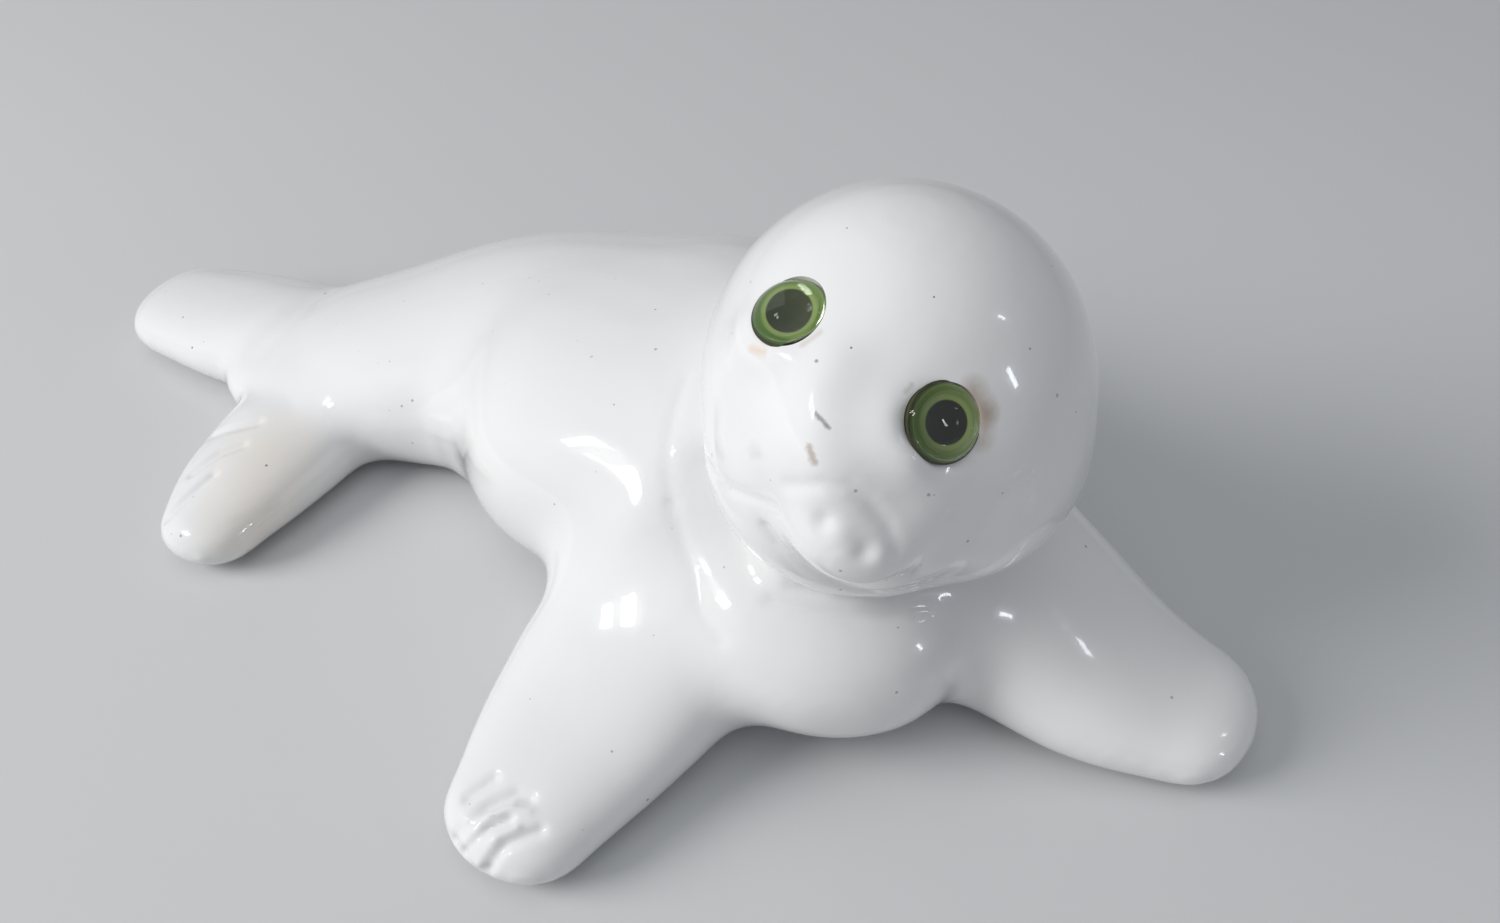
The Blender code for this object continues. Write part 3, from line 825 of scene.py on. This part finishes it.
# %% Colours of the two eyes
# Each eye's dark and lit colours for its band, line and pupil are painted shade and painted light; the left
# pupil's lighter side is also a painted reflection.
RIGHT_BANDS = {
    "dark": (0.055, 0.12, 0.015), "side": ((0.11, 0.18, 0.035), "Up"), "line": (0.21, 0.28, 0.085),
    "lit line": (0.24, 0.31, 0.10), "rim": (0.03, 0.045, 0.012),
}
LEFT_BANDS = {
    "dark": (0.055, 0.10, 0.015), "side": ((0.16, 0.23, 0.05), "Side"), "line": (0.10, 0.15, 0.03),
    "lit line": (0.30, 0.36, 0.12), "rim": (0.03, 0.045, 0.012),
}
RIGHT_PUPIL_SHADE_TO_LIGHT = ((0.016, 0.019, 0.010), (0.04, 0.046, 0.022))
LEFT_PUPIL_SHADE_TO_LIGHT = ((0.003, 0.003, 0.003), (0.010, 0.013, 0.008))
put_on(eye_paint("eye_paint_right", *EYES["right_eye"], 2.45, RIGHT_BANDS, RIGHT_PUPIL_SHADE_TO_LIGHT), right_back)
put_on(eye_paint("eye_paint_left", *EYES["left_eye"], 2.25, LEFT_BANDS, LEFT_PUPIL_SHADE_TO_LIGHT), left_back)
print("painted:", right_back.name, left_back.name)

# %% Clear glass
green_glass, glass_tree, glass, glass_place = new_material("green_glass")
cloud = noise_node(glass_tree, glass_place, 300.0, 1.0)
tint = mix_colour(glass_tree, cloud, (0.90, 0.96, 0.86), (0.93, 0.97, 0.90))
glass_tree.links.new(tint, glass.inputs["Base Color"])
glass.inputs["Roughness"].default_value = 0.0
glass.inputs["IOR"].default_value = 1.5
glass.inputs["Transmission Weight"].default_value = 1.0
rays = glass_tree.nodes.new("ShaderNodeLightPath")
unseen = math_node(glass_tree, "MAXIMUM", rays.outputs["Is Shadow Ray"], rays.outputs["Is Diffuse Ray"])
glass_tree.links.new(math_node(glass_tree, "SUBTRACT", 1.0, unseen), glass.inputs["Alpha"])
put_on(green_glass, right_dome, left_dome)
print("domes of", green_glass.name)

# %% [markdown]
# ## Old glue and painted gap shade
#
# The glue is an aged, slightly cloudy resin. It is dull beside the glass, so it gets a dark olive colour
# that varies a little and a medium roughness. The dark olive is partly painted shade of the narrow gap
# round each eye.

# %% Glue material
glue_with_painted_gap_shade, glue_tree, glue, glue_place = new_material("glue_with_painted_gap_shade")
cloud = noise_node(glue_tree, glue_place, 900.0, 3.0)
# Dark olive: partly the glue's own colour, partly painted shade of the gap round the eye.
glue_and_gap_shade_colour = mix_colour(glue_tree, cloud, (0.03, 0.035, 0.015), (0.07, 0.06, 0.03))
glue_tree.links.new(glue_and_gap_shade_colour, glue.inputs["Base Color"])
glue.inputs["Roughness"].default_value = 0.5
put_on(glue_with_painted_gap_shade, right_glue, left_glue)
put_on(white_glaze, glazed_body)
print("glue and glaze are on")

# %% [markdown]
# ## Tie the pieces to the imported model
#
# Every piece rides on the body that carries it, and the imported body and eyes that the pieces stand in for
# are hidden.

# %% Ride and replace
for piece in (glazed_body, right_dome, left_dome, right_back, left_back, right_glue, left_glue):
    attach(piece, "root")
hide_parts("body")
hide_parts("right_eye")
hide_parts("left_eye")

# %% [markdown]
# ## Floor and light
#
# A plain pale table and large soft lamps let the shine show the form. The two large lamps, daylight from the
# left and a ceiling, light the pup but are left out of reflections. The small panes are weak, and are there
# for the bright patches that a window leaves on glaze: two on the left and two on the right. A dim sky
# fills the shade.

# %% Floor
bpy.ops.object.select_all(action="DESELECT")
bpy.ops.mesh.primitive_plane_add(size=6, location=(0, 0, 0))
floor = bpy.context.object
floor.name = "floor"
table_top, table_tree, table, table_place = new_material("pale_table")
cloud = noise_node(table_tree, table_place, 6.0, 2.0)
table_colour = mix_colour(table_tree, cloud, (0.60, 0.61, 0.625), (0.62, 0.63, 0.64))
table_tree.links.new(table_colour, table.inputs["Base Color"])
table.inputs["Roughness"].default_value = 0.22
table.inputs["IOR"].default_value = 1.4
put_on(table_top, floor)
print("floor ready")


# %% Lamps and sky
def soft_lamp(name, azimuth, elevation, distance, width, height, power, tint):
    place = direction(azimuth, elevation) * distance
    bpy.ops.object.light_add(type="AREA", location=place)
    lamp = bpy.context.object
    lamp.name = name
    lamp.data.shape = "RECTANGLE"
    lamp.data.size = width
    lamp.data.size_y = height
    lamp.data.energy = power
    lamp.data.color = tint
    lamp.rotation_euler = place.to_track_quat("Z", "Y").to_euler()
    return lamp


WARM_LIGHT = (1.0, 0.99, 0.97)
COOL_LIGHT = (0.88, 0.93, 1.0)
CEILING_LIGHT = (0.98, 0.99, 1.0)
soft_lamp("window_left_pane_1", -70, 42, 1.2, 0.09, 0.17, 0.36, WARM_LIGHT)
soft_lamp("window_left_pane_2", -80, 42, 1.2, 0.09, 0.17, 0.36, WARM_LIGHT)
soft_lamp("window_right", 86, 41, 1.4, 0.05, 0.10, 0.13, COOL_LIGHT)
soft_lamp("window_far", 62, 24, 1.4, 0.05, 0.18, 0.32, COOL_LIGHT)
soft_lamp("daylight_left", -78, 29, 1.2, 0.6, 0.6, 11.5, WARM_LIGHT).visible_glossy = False
soft_lamp("ceiling", 0, 80, 1.6, 1.4, 1.4, 4.8, CEILING_LIGHT).visible_glossy = False
sky = bpy.data.worlds.new("sky")
bpy.context.scene.world = sky
sky.use_nodes = True
background = sky.node_tree.nodes["Background"]
background.inputs["Color"].default_value = (0.93, 0.96, 1.0, 1.0)
background.inputs["Strength"].default_value = 0.3
